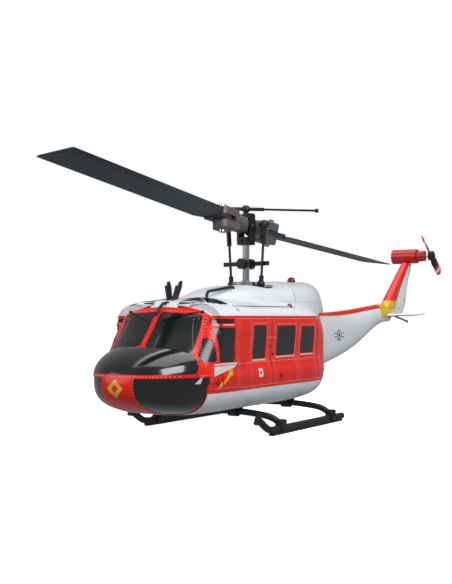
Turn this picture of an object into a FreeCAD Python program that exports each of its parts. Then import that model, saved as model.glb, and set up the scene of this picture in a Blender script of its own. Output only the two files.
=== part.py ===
import FreeCAD, Part
import math
import os

V = FreeCAD.Vector

# ---------------------------------------------------------------- overall sizes (mm)
nose_reach = 108.2          # mast to nose tip
fin_reach = 232.0           # mast to tail-motor axis
cabin_half_width = 30.5
belly_z = 11.0              # underside of the cabin above the ground
roof_z = 62.3
rotor_radius = 129.0
rotor_height = 104.0        # centre of the feathering spindle
skid_track = 74.0
skid_tube_d = 3.4
skid_shoe_t = 0.9

# ---------------------------------------------------------------- fits and walls
wall = 1.2                  # moulded shell wall
pane_t = 0.8                # window insert thickness
pane_recess = 0.25          # window face below the skin
seam = 0.05                 # gap between fitted shell pieces
run_gap = 0.04              # radial running clearance, shaft in bore
move_gap = 0.4              # air between bodies that pass each other

# ---------------------------------------------------------------- body outline
nose_depth = 38.2           # length of the rounded nose bowl
nose_tip_z = 25.5
shoulder_top_z = 46.0       # height of the nose bowl at its widest section
wide_z = 31.0               # height of the widest line of the cabin
side_n = 7.0                # squareness of the upper half of a section
belly_n = 3.4               # squareness of the lower half
cabin_end = 62.0            # rear end of the cabin moulding
belly_split_z = 22.2
hood_split_z = 31.4
chin_top_z = 29.8
stripe_half = 8.0           # nose stripe between the chin windows
screen_top_z = 58.4
post_half = 1.3             # half width of the windscreen centre post

# ---------------------------------------------------------------- rotor head
rotor_turn = 10.0           # blade line, degrees clockwise from the nose
rotor_tilt = 8.0            # teeter at rest, front blade up
shaft_d = 3.6
spindle_d = 2.5
grip_inner_r = 3.4
grip_d = 9.4
bolt_r = 18.5               # blade bolt from the mast
arm_reach = 12.6            # pitch-arm ball from the spindle
ball_d = 2.6
link_d = 1.3
link_low_reach = 10.4
blade_chord = 21.8
blade_lead = 13.8            # leading edge ahead of the spindle line
blade_rake = 4.0             # tip cut back at the leading edge
blade_pitch = 7.2
blade_cone = 2.2            # degrees the blades rise outwards
driver_z = 84.0
bar_z = 113.0

# ---------------------------------------------------------------- drive inside
gear_module = 0.5
gear_teeth = 60
pinion_teeth = 10
gear_z = 33.0
gear_t = 3.0
swash_z = 72.0

NODES = {}


def keep(name, shape):
    """Store a finished piece under its node name."""
    NODES[name] = shape


def box(x0, x1, y0, y1, z0, z1):
    return Part.makeBox(x1 - x0, y1 - y0, z1 - z0, V(x0, y0, z0))


def cyl(radius, start, end):
    """Cylinder between two points."""
    a, b = V(*start), V(*end)
    return Part.makeCylinder(radius, (b - a).Length, a, b - a)


def tube(outer, inner, start, end):
    return cyl(outer, start, end).cut(cyl(inner, start, end))


def ball(radius, centre):
    return Part.makeSphere(radius, V(*centre))


def mirror_x(shape):
    return shape.mirror(V(0, 0, 0), V(1, 0, 0))


def prism(points, direction, radius=0.0):
    """Extruded polygon; its long edges are rounded when a radius is given."""
    pts = [V(*p) for p in points]
    solid = Part.Face(Part.makePolygon(pts + [pts[0]])).extrude(V(*direction))
    if radius > 0.0:
        d = V(*direction).normalize()
        edges = [e for e in solid.Edges if abs(e.tangentAt(e.FirstParameter).dot(d)) > 0.999]
        solid = solid.makeFillet(radius, edges)
    return solid


def ring_wire(points):
    """Closed smooth outline through the points."""
    curve = Part.BSplineCurve()
    curve.interpolate(Points=[V(*p) for p in points], PeriodicFlag=True)
    return Part.Wire([curve.toShape()])


def section(y, half_w, low_z, high_z, mid_z, up_n=side_n, down_n=belly_n, count=28):
    """Rounded-square cross-section of a body at one station."""
    pts = []
    for k in range(count):
        a = 2.0 * math.pi * k / count
        c, s = math.cos(a), math.sin(a)
        n = up_n if s >= 0.0 else down_n
        rise = (high_z - mid_z) if s >= 0.0 else (mid_z - low_z)
        x = half_w * math.copysign(abs(c) ** (2.0 / n), c)
        z = mid_z + rise * math.copysign(abs(s) ** (2.0 / n), s)
        pts.append((x, y, z))
    return ring_wire(pts)


def loft(wires):
    return Part.makeLoft(wires, True, False)


def sweep_round(points, radius):
    """Round bar along a smooth line through the points."""
    curve = Part.BSplineCurve()
    curve.interpolate(Points=[V(*p) for p in points])
    path = Part.Wire([curve.toShape()])
    start = path.Edges[0]
    ring = Part.Wire([Part.makeCircle(radius, V(*points[0]), start.tangentAt(start.FirstParameter))])
    return path.makePipeShell([ring], True, False)


def bent_bar(points, bend, radius):
    """Round bar along straight runs joined by arcs, one arc for each inner point."""
    edges = []
    last = V(*points[0])
    for k in range(1, len(points) - 1):
        a, b, c = [V(*p) for p in points[k - 1:k + 2]]
        to_a, to_c = (a - b).normalize(), (c - b).normalize()
        turn = to_a.getAngle(to_c) / 2.0
        run = bend / math.tan(turn)
        before, after = b + to_a * run, b + to_c * run
        centre = b + (to_a + to_c).normalize() * (bend / math.sin(turn))
        mid = centre + (b - centre).normalize() * bend
        edges.append(Part.makeLine(last, before))
        edges.append(Part.Arc(before, mid, after).toShape())
        last = after
    edges.append(Part.makeLine(last, V(*points[-1])))
    ring = Part.Wire([Part.makeCircle(radius, V(*points[0]), V(*points[1]) - V(*points[0]))])
    return Part.Wire(edges).makePipeShell([ring], True, False)


# ================================================================ fuselage outlines
def nose_bowl(inset):
    """Rounded nose: scaled copies of the shoulder section."""
    wires = []
    depth = nose_depth - inset
    tuck = inset + 0.04             # its rear edge sits just inside the cabin
    for angle in (7.0, 17.0, 30.0, 45.0, 60.0, 75.0, 90.0, 92.0):
        k = min(1.0, math.sin(math.radians(angle)) + (0.01 if angle > 90.0 else 0.0))
        y = -(nose_reach - nose_depth) - depth * math.cos(math.radians(angle))
        low = nose_tip_z - (nose_tip_z - belly_z - 0.3 - tuck) * k
        high = nose_tip_z + (shoulder_top_z - nose_tip_z - tuck) * k
        mid = nose_tip_z + (wide_z - nose_tip_z) * k
        round_n = 2.2 + (belly_n - 2.2) * k
        wires.append(section(y, (cabin_half_width - tuck) * k, low, high, mid, 2.3, round_n))
    return loft(wires)


STATIONS = (
    # y, half width, underside, top, upper squareness
    (-70.0, 30.5, 11.3, 61.8, 7.0),
    (-40.0, 30.5, 11.0, 62.3, 7.0),
    (0.0, 30.5, 11.0, 62.3, 7.0),
    (22.0, 30.3, 11.6, 61.6, 6.5),
    (36.0, 27.6, 13.2, 60.4, 5.0),
    (48.0, 20.6, 16.8, 59.0, 4.0),
    (62.0, 12.6, 21.6, 58.0, 3.2),
)


def cabin_tub(inset):
    wires = []
    grow = cabin_half_width / 30.5
    for y, half_w, low, high, up_n in STATIONS:
        y += max(inset, 0.0) if y == STATIONS[0][0] else 0.0
        wires.append(section(y, half_w * grow - inset, low + inset, high - inset + roof_z - 62.3,
                             wide_z, up_n, belly_n))
    return loft(wires)


def side_at(z, inset):
    """Half width of the shoulder section at a height."""
    top = STATIONS[0][3] - inset + roof_z - 62.3
    if z > wide_z:
        t, n = (z - wide_z) / (top - wide_z), side_n
    else:
        t, n = (wide_z - z) / (wide_z - belly_z - inset), belly_n
    t = min(t, 0.985)
    return (cabin_half_width - inset) * (1.0 - t ** n) ** (1.0 / n)


def screen_block(inset):
    """Windscreen and brow: stacked level outlines with a curved front."""
    wires = []
    top = roof_z - 0.9 - inset
    for z in (27.0, 36.0, 44.0, 52.0, 58.0, top - 0.9, top):
        brow = max(0.0, z - 58.0)
        front = -89.7 + (z - 42.2) * 14.1 / 17.0 + inset * 1.2 + brow * brow * 0.35
        bulge = 10.7 - (z - 38.0) * 0.22
        side = min(side_at(z, inset), side_at(z, 0.0) - inset) - 0.12
        corner = min(side * 0.80, 24.4 - (z - 37.0) * 0.09)
        corner_y = front + bulge
        post = (side - (side - corner) * 0.30, corner_y + 3.6)
        edges = []
        a, b = V(-corner, corner_y, z), V(corner, corner_y, z)
        edges.append(Part.Arc(a, V(0, front, z), b).toShape())
        right = Part.BSplineCurve()
        right.interpolate(Points=[b, V(post[0], post[1], z), V(side, corner_y + 11.0, z)])
        edges.append(right.toShape())
        edges.append(Part.makeLine(V(side, corner_y + 11.0, z), V(side, -50.0, z)))
        edges.append(Part.makeLine(V(side, -50.0, z), V(-side, -50.0, z)))
        edges.append(Part.makeLine(V(-side, -50.0, z), V(-side, corner_y + 11.0, z)))
        left = Part.BSplineCurve()
        left.interpolate(Points=[V(-side, corner_y + 11.0, z), V(-post[0], post[1], z), a])
        edges.append(left.toShape())
        wires.append(Part.Wire(edges))
    return Part.makeLoft(wires, True, False)


def body(inset):
    """Whole cabin outline at a depth below the skin."""
    return nose_bowl(inset).fuse([cabin_tub(inset), screen_block(inset)])


OUTER = body(0.0)
INNER = body(wall)
PANE_OUT = body(pane_recess)
PANE_IN = body(pane_recess + pane_t)

# ================================================================ window outlines
side_outlines = {
    "quarter": [(-83.0, 36.4), (-74.4, 36.0), (-74.6, 50.2)],
    "door": [(-72.2, 35.8), (-59.6, 35.6), (-59.6, 51.0), (-72.6, 51.4)],
    "eyebrow": [(-72.4, 53.2), (-60.2, 53.0), (-60.2, 55.0), (-71.6, 55.2)],
}
cabin_outlines = [
    [(-42.6, 36.2), (-30.2, 36.2), (-30.2, 52.0), (-42.6, 52.0)],
    [(-19.6, 37.0), (-1.2, 37.0), (-1.2, 51.6), (-19.6, 51.6)],
    [(5.0, 37.4), (19.6, 37.4), (19.6, 51.2), (5.0, 51.2)],
]


def side_prism(points, grow=0.0):
    """Window opening through the left wall, optionally reduced all round."""
    tall = max(p[1] for p in points) - min(p[1] for p in points)
    radius = 1.4 if tall > 4.0 else 0.6
    cy = sum(p[0] for p in points) / len(points)
    cz = sum(p[1] for p in points) / len(points)
    pts = []
    for y, z in points:
        pts.append((20.0, y + grow * math.copysign(1.0, y - cy), z + grow * math.copysign(1.0, z - cz)))
    return prism(pts, (20.0, 0, 0), radius)


def screen_prism(grow=0.0):
    pts = [(post_half - grow, 43.0), (23.0 + grow, 37.9), (21.6 + grow, screen_top_z - 1.4),
           (post_half - grow, screen_top_z)]
    shift = {0: -grow, 1: -grow, 2: grow, 3: grow}
    points = [(x, -110.0, z + shift[k]) for k, (x, z) in enumerate(pts)]
    return prism(points, (0, 46.0, 0), 1.2)


def roof_prism(grow=0.0):
    pts = [(7.5 - grow, -66.5 - grow), (21.5 + grow, -65.5 - grow), (24.5 + grow, -56.0 + grow),
           (9.5 - grow, -55.0 + grow)]
    return prism([(x, y, 50.0) for x, y in pts], (0, 0, 20.0), 1.5)


def chin_prism(grow=0.0):
    """Lower nose window: front stripe edge, flat top, rounded rear corner."""
    plan = [(stripe_half - grow, -112.0), (stripe_half + 2.5 - grow, -80.0 + grow),
            (40.0, -80.0 + grow), (40.0, -112.0)]
    upright = prism([(x, y, 12.6 - grow) for x, y in plan], (0, 0, chin_top_z - 12.6 + 2 * grow))
    cut = prism([(0, -112.0, 0), (0, -79.0 + grow, 0), (0, -79.0 + grow, 40), (0, -112.0, 40)], (40.0, 0, 0), 9.0)
    return upright.common(cut)


side_holes = [side_prism(p) for p in side_outlines.values()]
cabin_holes = [side_prism(p) for p in cabin_outlines]
left_holes = side_holes + cabin_holes + [screen_prism(), roof_prism(), chin_prism()]
all_holes = left_holes + [mirror_x(h) for h in left_holes]

# ---------------------------------------------------------------- shell pieces
skin = OUTER.cut(INNER)
hood_zone = box(-40, 40, -112, -70, hood_split_z, 60).cut(screen_block(-1.3))
tub_zone = box(-40, 40, -70.0, cabin_end + 5, 0, belly_split_z)
hood = skin.common(hood_zone)
belly = cabin_tub(0.0).cut(cabin_tub(wall)).cut(nose_bowl(wall)).common(tub_zone)
frame_shell = skin.cut(box(-40, 40, -112, -70, hood_split_z - seam, 60).cut(screen_block(-1.3 + seam)))
frame_shell = frame_shell.cut(box(-40, 40, -70.0 - seam, cabin_end + 5, 0, belly_split_z + seam))
for hole in all_holes:
    frame_shell = frame_shell.cut(hole)


def largest(shape):
    return max(shape.Solids, key=lambda s: s.Volume)


pane_skin = PANE_OUT.cut(PANE_IN)


def pane(cutter):
    return pane_skin.common(cutter)


def panes(cutters):
    return Part.makeCompound([largest(pane(c)) for c in cutters])


door_glass = panes([side_prism(p, -seam) for p in side_outlines.values()])
cabin_glass = panes([side_prism(p, -seam) for p in cabin_outlines])
screen_skin = screen_block(pane_recess).cut(screen_block(pane_recess + pane_t))
screen_glass = largest(screen_skin.common(screen_prism(-seam)).cut(hood))
roof_glass = largest(pane(roof_prism(-seam)))
chin_glass = largest(pane(chin_prism(-seam)))
side_glass = Part.makeCompound(door_glass.Solids + cabin_glass.Solids)
keep("side_windows_left", side_glass)
keep("side_windows_right", mirror_x(side_glass))
keep("windscreen_left", screen_glass)
keep("windscreen_right", mirror_x(screen_glass))
keep("roof_windows", Part.makeCompound([roof_glass, mirror_x(roof_glass)]))
keep("chin_windows", Part.makeCompound([chin_glass, mirror_x(chin_glass)]))

# ================================================================ roof cowls
mast_hole_r = arm_reach + 1.6


def cowl_loft(rows, inset):
    wires = [section(y, w - inset, 54.0, z - inset, 60.0, n, 4.0, 24) for y, w, z, n in rows]
    return loft(wires)


pylon_rows = ((-53.0, 9.0, 63.4, 3.0), (-44.0, 13.0, 67.2, 3.0), (-30.0, 16.0, 70.6, 3.2),
              (-10.0, 17.5, 72.6, 3.4), (21.0, 18.0, 73.8, 3.6))
engine_rows = ((21.1, 18.6, 74.6, 3.6), (40.0, 18.0, 75.6, 3.4), (56.0, 15.0, 76.0, 3.0),
               (66.0, 11.5, 74.4, 2.6), (73.0, 8.4, 70.4, 2.4), (78.0, 6.4, 65.0, 2.2))
deck_cut = OUTER.fuse(box(-30, 30, 55, 80, 50, 58.6))
pylon = cowl_loft(pylon_rows, 0.0).cut(cowl_loft(pylon_rows, wall)).cut(deck_cut)
pylon = largest(pylon.cut(cyl(mast_hole_r, (0, 0, 55), (0, 0, 90))))
engine_inner = cowl_loft([(y + 0.4 * wall if y > 60 else y, w, z, n) for y, w, z, n in engine_rows[:-1]], wall)
engine = largest(cowl_loft(engine_rows, 0.0).cut(engine_inner).cut(deck_cut))

# roof opening under the pylon cowl for the swashplate and rods
roof_port = cyl(mast_hole_r, (0, 0, 50), (0, 0, 70)).fuse(box(-3.2, 3.2, 0, 17.6, 50, 70))
frame_shell = largest(frame_shell.cut(roof_port))
keep("pylon_cowl", pylon)
keep("engine_cowl", engine)

# ================================================================ tail boom, fin, stabilisers
boom_rows = ((cabin_end + seam, 12.6, 21.6, 58.0, 3.2), (76.0, 9.8, 25.6, 57.2, 2.8),
             (99.0, 8.4, 29.8, 57.0, 2.5), (140.0, 6.6, 40.2, 59.6, 2.3), (190.0, 4.6, 52.8, 64.2, 2.2))


def boom_loft(inset, rear_wall=0.0):
    wires = []
    for y, w, low, high, n in boom_rows:
        y -= rear_wall if y > 150.0 else 0.0
        wires.append(section(y, w - inset, low + inset, high - inset, (low + high) / 2.0, n, n, 20))
    return loft(wires)


keep("tail_boom", boom_loft(0.0).cut(boom_loft(wall, 3.0)))


def fin_slice(z, front, rear, half_t):
    """Level slice of the fin: round nose, thin tail."""
    mid = front + 0.3 * (rear - front)
    pts = [(0, front, z), (half_t * 0.8, front + 1.2, z), (half_t, mid, z), (half_t * 0.3, rear - 0.6, z),
           (0, rear, z), (-half_t * 0.3, rear - 0.6, z), (-half_t, mid, z), (-half_t * 0.8, front + 1.2, z)]
    return ring_wire(pts)


fin_body = loft([fin_slice(58.4, 190.4, 216.0, 2.8), fin_slice(66.0, 193.4, 223.0, 2.7),
                 fin_slice(76.0, 203.0, 227.0, 2.4), fin_slice(86.0, 215.0, 232.6, 2.1),
                 fin_slice(95.6, 226.4, 237.6, 1.8)])
fin_cover = loft([fin_slice(62.6, 183.5, 203.0, 3.7), fin_slice(66.0, 187.6, 205.0, 3.6),
                  fin_slice(76.0, 199.6, 213.0, 3.2), fin_slice(86.0, 211.6, 223.0, 2.8),
                  fin_slice(96.0, 223.6, 233.6, 2.4)])
motor_y = fin_reach
motor_z = 101.0
motor_d = 10.6
mount_tube_r = motor_d / 2.0 + 1.0
motor_bore = cyl(mount_tube_r + seam, (-20, motor_y, motor_z), (20, motor_y, motor_z))
fin_cover = fin_cover.cut(boom_loft(-seam)).cut(motor_bore)
keep("fin_cover", largest(fin_cover.cut(fin_body)))
keep("tail_fin", largest(fin_body.cut(boom_loft(-seam)).cut(motor_bore)))

# drive-shaft cover along the top of the boom
ridge_rows = ((84.0, 57.0), (110.0, 57.9), (150.0, 60.9), (183.0, 63.7))
ridge = loft([section(y, 2.4, z - 2.0, z + 1.7, z - 0.6, 2.4, 3.0, 16) for y, z in ridge_rows])
ridge = largest(ridge.cut(boom_loft(-seam)).cut(NODES["engine_cowl"]).cut(NODES["fin_cover"]))
keep("shaft_cover", ridge)

stab_root_x = 2.6
stab_span = 27.5


def stab_slice(x, front, rear, z, half_t):
    pts = [(x, front, z), (x, front + 1.0, z + half_t), (x, front + 0.35 * (rear - front), z + 1.1 * half_t),
           (x, rear, z), (x, front + 0.35 * (rear - front), z - 1.1 * half_t), (x, front + 1.0, z - half_t)]
    return ring_wire(pts)


panel = loft([stab_slice(stab_root_x, 182.5, 196.0, 57.2, 0.9), stab_slice(15.0, 184.0, 195.6, 57.6, 0.8),
              stab_slice(24.0, 185.6, 195.2, 57.9, 0.7), stab_slice(stab_span, 188.0, 194.2, 58.0, 0.45)])
panel = largest(panel.cut(boom_loft(-seam)).cut(NODES["tail_fin"]))
keep("stabilisers", Part.makeCompound([panel, mirror_x(panel)]))
skid_bow = sweep_round([(0, 203.0, 56.9), (0, 214.0, 55.4), (0, 230.0, 52.8)], 0.6)
skid_bow = skid_bow.fuse(ball(0.9, (0, 230.0, 52.8))).cut(NODES["tail_fin"])
keep("tail_skid", largest(skid_bow))

# ================================================================ tail motor and rotor
can_left, can_right = 7.5, -11.4
holder = tube(mount_tube_r, motor_d / 2.0, (-4.2, motor_y, motor_z), (5.2, motor_y, motor_z))
holder = holder.fuse(box(-2.0, 4.6, motor_y - 3.0, motor_y + 3.4, motor_z + motor_d / 2.0 + 0.2, motor_z + 7.4))
holder = holder.cut(cyl(motor_d / 2.0, (-4.4, motor_y, motor_z), (5.4, motor_y, motor_z)))
keep("tail_fin", largest(NODES["tail_fin"].fuse(holder)))
can = cyl(motor_d / 2.0 - 0.01, (can_right, motor_y, motor_z), (can_left, motor_y, motor_z))
for k in range(10):
    a = 2.0 * math.pi * k / 10
    oy, oz = motor_y + 5.35 * math.sin(a), motor_z + 5.35 * math.cos(a)
    can = can.cut(cyl(0.45, (can_right - 1, oy, oz), (-4.8, oy, oz)))
    can = can.cut(cyl(0.45, (5.8, oy, oz), (can_left + 1, oy, oz)))
can = can.fuse(tube(3.9, 0.8, (can_left - 0.2, motor_y, motor_z), (13.2, motor_y, motor_z)))
tail_shaft_r = 0.75
can = can.cut(cyl(tail_shaft_r + run_gap, (can_left - 6, motor_y, motor_z), (20, motor_y, motor_z)))
keep("tail_motor", can)
tail_hub_x = 18.0
keep("tail_rotor_shaft", cyl(tail_shaft_r, (can_left - 5.5, motor_y, motor_z), (tail_hub_x + 2.0, motor_y, motor_z)))
tail_radius = 22.5
tail_line = 33.0


def tail_blade():
    """One twisted blade pointing along +Y from the hub centre."""
    wires = []
    for r, chord, twist in ((3.0, 2.6, 40.0), (8.0, 5.4, 30.0), (15.0, 5.8, 22.0), (tail_radius - 1.2, 4.6, 17.0),
                            (tail_radius, 2.4, 16.0)):
        t = 0.55 if r < 20 else 0.4
        c, s = math.cos(math.radians(twist)), math.sin(math.radians(twist))
        pts = []
        for u, w in ((-0.5, 0.0), (-0.25, t), (0.15, t), (0.5, 0.0), (0.15, -t), (-0.25, -t)):
            pts.append((u * chord * s + w * c, r, u * chord * c - w * s))
        wires.append(ring_wire(pts))
    return loft(wires)


blade = tail_blade()
other = blade.copy()
other.rotate(V(0, 0, 0), V(1, 0, 0), 180.0)
prop = cyl(3.4, (-1.6, 0, 0), (1.6, 0, 0)).fuse([blade, other, cyl(2.0, (1.2, 0, 0), (2.4, 0, 0))])
prop.rotate(V(0, 0, 0), V(1, 0, 0), -tail_line)
prop.translate(V(tail_hub_x, motor_y, motor_z))
prop = prop.cut(cyl(tail_shaft_r, (tail_hub_x - 4, motor_y, motor_z), (tail_hub_x + 4, motor_y, motor_z)))
keep("tail_rotor", prop)

# ================================================================ landing gear
shoe_top = skid_shoe_t
tube_z = shoe_top + skid_tube_d / 2.0
half_track = skid_track / 2.0
skid_front, skid_rear = -40.0, 39.0
cross_r = 1.6
cross_z = belly_z - cross_r - 0.05
toe_y, toe_z = skid_front - 10.6, tube_z + 6.4


rail = bent_bar([(half_track, skid_rear, tube_z), (half_track, skid_front, tube_z), (half_track, toe_y, toe_z)],
                14.0, skid_tube_d / 2.0)
toe = box(-1.2, 1.2, -0.5, 0.9, -2.6, 3.0)
toe.rotate(V(0, 0, 0), V(1, 0, 0), -math.degrees(math.atan2(toe_z - tube_z, skid_front - toe_y)))
toe.translate(V(half_track, toe_y, toe_z))
rail = rail.fuse(toe)
shoe = box(half_track - 1.3, half_track + 1.3, skid_front + 2.0, skid_rear - 2.0, 0.0, shoe_top + 0.5)
shoe = shoe.cut(rail)
shoe = shoe.common(box(-60, 60, -60, 60, 0, shoe_top + 0.45))


def cross_tube(y, foot_y):
    pts = []
    for x, z in ((-half_track, tube_z + 0.2), (-half_track + 3.0, tube_z + 3.6), (-25.0, 8.6), (-15.0, cross_z),
                 (0, cross_z), (15.0, cross_z), (25.0, 8.6), (half_track - 3.0, tube_z + 3.6),
                 (half_track, tube_z + 0.2)):
        bend = abs(x) / half_track
        pts.append((x, y + (foot_y - y) * bend * bend, z))
    return sweep_round(pts, cross_r)


front_y, rear_y = -28.0, 26.0
belly_cut = cabin_tub(-seam)
for name, y in (("cross_tube_front", front_y), ("cross_tube_rear", rear_y)):
    keep(name, cross_tube(y, y).cut(belly_cut))
saddles = []
for y in (front_y, rear_y):
    for x in (-half_track, half_track):
        shell = tube(skid_tube_d / 2.0 + 0.8, skid_tube_d / 2.0 + 0.02, (x, y - 3.2, tube_z), (x, y + 3.2, tube_z))
        socket = cyl(cross_r + 0.9, (x, y, tube_z + 0.3), (x, y, tube_z + 4.2))
        clamp = shell.common(box(-60, 60, -60, 60, shoe_top + 0.5, 20)).fuse(socket)
        clamp = clamp.cut(cyl(skid_tube_d / 2.0 + 0.02, (x, y - 5, tube_z), (x, y + 5, tube_z)))
        saddles.append(clamp)
rails = {"skid_left": rail, "skid_right": mirror_x(rail)}
feet = []
for k, clamp in enumerate(saddles):
    tube_shape = NODES["cross_tube_front"] if k < 2 else NODES["cross_tube_rear"]
    feet.append(largest(clamp.cut(tube_shape)))
for name in ("cross_tube_front", "cross_tube_rear"):
    keep(name, largest(NODES[name].cut(rails["skid_left"]).cut(rails["skid_right"])))
keep("skid_left", rails["skid_left"])
keep("skid_right", rails["skid_right"])
keep("skid_shoes", Part.makeCompound([largest(shoe), mirror_x(largest(shoe))]))
keep("skid_saddles", Part.makeCompound(feet))

belly_mounts = []
for y in (front_y, rear_y):
    for x in (-10.0, 10.0):
        strap = tube(cross_r + 0.9, cross_r + 0.02, (x - 2.5, y, cross_z), (x + 2.5, y, cross_z))
        strap = strap.common(box(-60, 60, -60, 60, cross_z - 4.0, cross_z + 0.6))
        wings = box(x - 2.5, x + 2.5, y - 4.6, y + 4.6, belly_z - 1.3, belly_z + 0.4)
        strap = strap.fuse(wings).cut(cyl(cross_r + 0.02, (x - 6, y, cross_z), (x + 6, y, cross_z)))
        strap = strap.cut(box(x - 3, x + 3, y - cross_r, y + cross_r, cross_z, belly_z + 2))
        belly_mounts.append(largest(strap.cut(belly_cut)))
keep("belly_straps", Part.makeCompound(belly_mounts))

# ================================================================ roof fittings
cutter_y = -66.0


def cutter_blade(side):
    """One notched blade of the wire cutter, leaning outwards."""
    pts = [(-2.4, 61.0), (1.6, 61.0), (1.9, 65.0), (2.9, 70.4), (2.4, 73.2), (0.8, 72.8), (0.0, 70.2),
           (-1.4, 71.0), (-1.9, 66.4)]
    plate = prism([(-0.4, cutter_y + y, z) for y, z in pts], (0.8, 0, 0))
    plate.rotate(V(0, cutter_y, 62.0), V(0, 1, 0), side * 14.0)
    plate.translate(V(side * 1.0, 0, 0))
    return plate


cutter_foot = box(-1.6, 1.6, -70.6, -62.0, 60.0, 62.9)
cutter_strip = bent_bar([(0, -79.0, 57.2), (0, -73.6, 62.2), (0, -68.0, 62.7)], 4.0, 0.7)
cutter = cutter_blade(1).fuse([cutter_blade(-1), cutter_foot, cutter_strip]).cut(OUTER)
keep("wire_cutter", largest(cutter))

rail_x = 10.0
hand_rail = bent_bar([(rail_x, -52.2, 58.0), (rail_x, -52.2, 68.0), (rail_x, -27.6, 71.2), (rail_x, -27.4, 60.0)],
                     2.6, 0.75)
keep("grab_rail", largest(hand_rail.cut(OUTER).cut(cowl_loft(pylon_rows, -seam))))

beacon = cyl(2.3, (0, 50.0, 70), (0, 50.0, 77.0)).fuse(ball(2.3, (0, 50.0, 76.6)))
keep("beacon", largest(beacon.cut(cowl_loft(engine_rows, -seam))))

lamp = cyl(1.3, (0, 0, -1.4), (0, 0, 0.6)).fuse(ball(1.3, (0, 0, 0.4)))
lamps = []
for x in (-24.5, 24.5):
    bulb = lamp.copy()
    bulb.translate(V(x, 3.0, 61.2))
    lamps.append(largest(bulb.cut(cabin_tub(-seam))))
keep("nav_lights", Part.makeCompound(lamps))

# ================================================================ chassis inside
frame_plate_t = 1.4
deck_low, deck_high = 28.0, 52.0
plate_low = box(-13, 13, -30, 20, deck_low, deck_low + frame_plate_t)
plate_high = box(-20, 20, -25, 21, deck_high, deck_high + frame_plate_t)
bearing_od = 8.0
bearing_w = 3.0
bosses = [cyl(5.4, (0, 0, deck_low - 2.6), (0, 0, deck_low + frame_plate_t)),
          cyl(5.4, (0, 0, deck_high), (0, 0, deck_high + 4.0))]
posts = [box(x - 1.2, x + 1.2, y - 1.2, y + 1.2, deck_low, deck_high + 1) for x in (-11.6, 11.6) for y in (-22.6, 14.6)]
legs = [box(x - 1.5, x + 1.5, y - 1.5, y + 1.5, belly_z + wall + 0.3, deck_low + 1) for x in (-10, 10) for y in (-26, 16)]
chassis = plate_low.fuse([plate_high] + bosses + posts + legs)
low_bearing_z = deck_low - 2.6
high_bearing_z = deck_high + 1.0
for z in (low_bearing_z, high_bearing_z):
    chassis = chassis.cut(cyl(bearing_od / 2.0 + 0.01, (0, 0, z - 0.1), (0, 0, z + bearing_w)))
chassis = chassis.cut(cyl(3.0, (0, 0, 10), (0, 0, 70)))
motor_axis_y = -gear_module * (gear_teeth + pinion_teeth) / 2.0
motor_r = 7.0
chassis = chassis.cut(cyl(3.4, (0, motor_axis_y, 20), (0, motor_axis_y, 40)))
chassis = chassis.cut(cyl(motor_r + 0.05, (0, motor_axis_y, deck_high - 2), (0, motor_axis_y, deck_high + 5)))
chassis = largest(chassis)
bearings = [tube(bearing_od / 2.0, shaft_d / 2.0 + run_gap, (0, 0, z), (0, 0, z + bearing_w))
            for z in (low_bearing_z, high_bearing_z)]
keep("shaft_bearings", Part.makeCompound(bearings))


def spur_gear(teeth, thickness, phase):
    """Straight-sided spur gear about the Z axis."""
    pitch_r = gear_module * teeth / 2.0
    tip, root = pitch_r + 0.42 * 1.0, pitch_r - 0.62
    step = 2.0 * math.pi / teeth
    pts = []
    for k in range(teeth):
        a = phase + k * step
        for r, off in ((root, -0.30), (tip, -0.105), (tip, 0.105), (root, 0.30)):
            pts.append(V(r * math.cos(a + off * step), r * math.sin(a + off * step), 0))
    face = Part.Face(Part.makePolygon(pts + [pts[0]]))
    return face.extrude(V(0, 0, thickness))


gear = spur_gear(gear_teeth, gear_t, -math.pi / 2.0)
gear = gear.fuse(cyl(4.0, (0, 0, 0), (0, 0, gear_t + 2.0)))
for k in range(6):
    a = math.radians(60.0 * k)
    gear = gear.cut(cyl(3.2, (9.0 * math.cos(a), 9.0 * math.sin(a), -1), (9.0 * math.cos(a), 9.0 * math.sin(a), gear_t + 1)))
gear = gear.cut(cyl(shaft_d / 2.0, (0, 0, -1), (0, 0, 10)))
gear.translate(V(0, 0, gear_z))
keep("main_gear", gear)
pinion = spur_gear(pinion_teeth, gear_t + 1.0, math.pi / 2.0 + math.pi / pinion_teeth)
pinion.translate(V(0, motor_axis_y, gear_z - 0.5))
motor_low = gear_z + gear_t + 2.0
motor_len = 14.4
motor = cyl(motor_r, (0, motor_axis_y, motor_low), (0, motor_axis_y, motor_low + motor_len))
motor = motor.fuse(cyl(2.4, (0, motor_axis_y, motor_low - 0.8), (0, motor_axis_y, motor_low)))
motor = motor.cut(cyl(0.75 + run_gap, (0, motor_axis_y, motor_low - 2), (0, motor_axis_y, motor_low + 6)))
motor_cap = cyl(motor_r - 1.5, (0, motor_axis_y, motor_low + motor_len), (0, motor_axis_y, motor_low + motor_len + 0.6))
keep("main_motor", motor.fuse(motor_cap))
keep("pinion", pinion.fuse(cyl(0.75, (0, motor_axis_y, gear_z - 1.0), (0, motor_axis_y, motor_low + 5.6))))

shaft_low = low_bearing_z - 1.0
shaft_top = rotor_height - 7.0
keep("main_shaft", cyl(shaft_d / 2.0, (0, 0, shaft_low), (0, 0, shaft_top)))

# ---------------------------------------------------------------- swashplate and servos
def polar(r, deg, z):
    return V(r * math.cos(math.radians(deg)), r * math.sin(math.radians(deg)), z)


def turned(shape, deg):
    copy = shape.copy()
    copy.rotate(V(0, 0, 0), V(0, 0, 1), deg)
    return copy


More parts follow.
